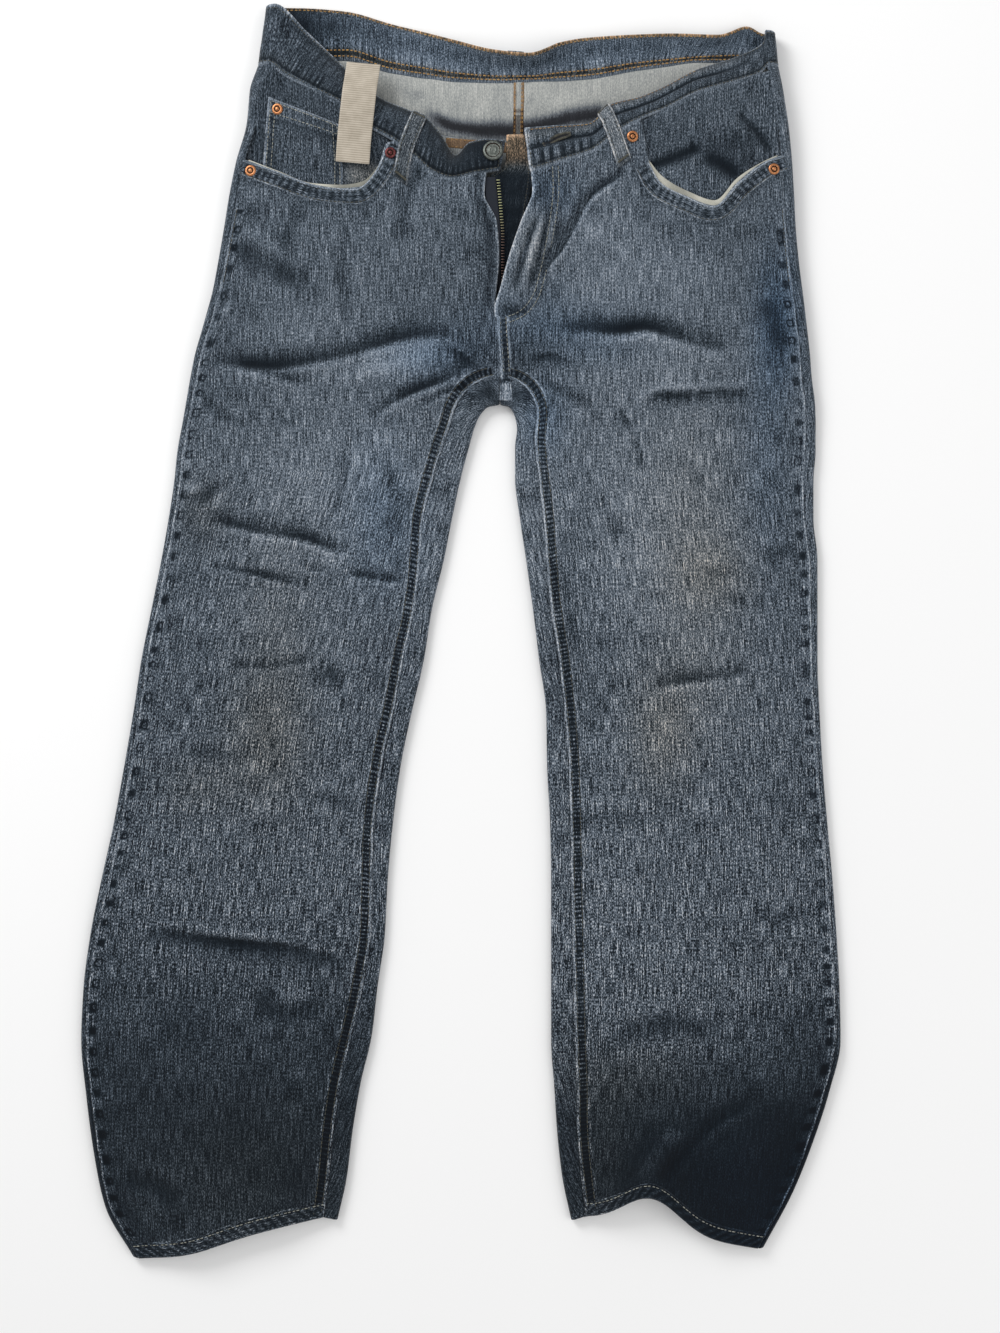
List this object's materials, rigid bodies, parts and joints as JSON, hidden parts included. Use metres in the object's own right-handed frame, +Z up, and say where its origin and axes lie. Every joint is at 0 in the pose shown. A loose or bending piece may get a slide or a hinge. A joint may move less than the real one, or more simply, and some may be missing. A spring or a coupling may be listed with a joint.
{
  "type": "tapered jeans, laid flat",
  "caption": "Tapered denim jeans laid flat, front up, button undone and zip fly open, with curved front pockets, a coin pocket, back yokes, belt loops and a bare care label",
  "frame": {"origin": "On the surface that the garment lies on, under the middle of its bounding box", "axes": "+X to the wearer's left across the garment, +Y from the hems to the waist, +Z up from the surface, out of the front"},
  "size_m": [0.6216, 1.0214, 0.03],
  "materials": {
    "denim": "washed mid blue-grey cotton twill, matt",
    "denim_unwashed": "less washed denim of facings and coin pocket",
    "denim_dark": "dark indigo denim of the fly shield",
    "pocket_cotton": "plain off-white cotton",
    "woven_label": "cream woven tape with a slight sheen, bare",
    "zip_tape": "dark woven tape",
    "zip_brass": "aged brass",
    "pewter_metal": "dull pewter-coloured plating",
    "copper_metal": "copper-coloured, worn"
  },
  "bodies": {
    "garment": {"back_panel_left": "denim", "back_panel_right": "denim", "back_pocket_left": "denim", "back_pocket_right": "denim", "belt_loop_centre_back": "denim", "belt_loop_front_left": "denim", "belt_loop_front_right": "denim", "belt_loop_side_left": "denim", "belt_loop_side_right": "denim", "button": "pewter_metal", "care_label": "woven_label", "coin_pocket": "denim_unwashed", "fly_facing": "denim_unwashed", "fly_shield": "denim_dark", "front_panel_left": "denim", "front_panel_right": "denim", "pocket_bag_left": "pocket_cotton", "pocket_bag_right": "pocket_cotton", "pocket_facing_left": "denim_unwashed", "pocket_facing_right": "denim_unwashed", "rivet_coin_pocket": "copper_metal", "rivet_pocket_left_inner": "copper_metal", "rivet_pocket_left_outer": "copper_metal", "rivet_pocket_right_inner": "copper_metal", "rivet_pocket_right_outer": "copper_metal", "waistband": "denim", "yoke_left": "denim", "yoke_right": "denim", "zip_chain_left": "zip_brass", "zip_chain_right": "zip_brass", "zip_slider": "zip_brass", "zip_tape_left": "zip_tape", "zip_tape_right": "zip_tape"},
    "pull_tab": {"zip_pull_tab": "zip_brass"}
  },
  "joints": [
    {"name": "pull_tab_hinge", "type": "hinge", "parent": "garment", "child": "pull_tab", "pos_m": [0.0369, 0.2705, 0.01996], "axis": [1, 0, 0], "range_deg": [0, 12]}
  ]
}
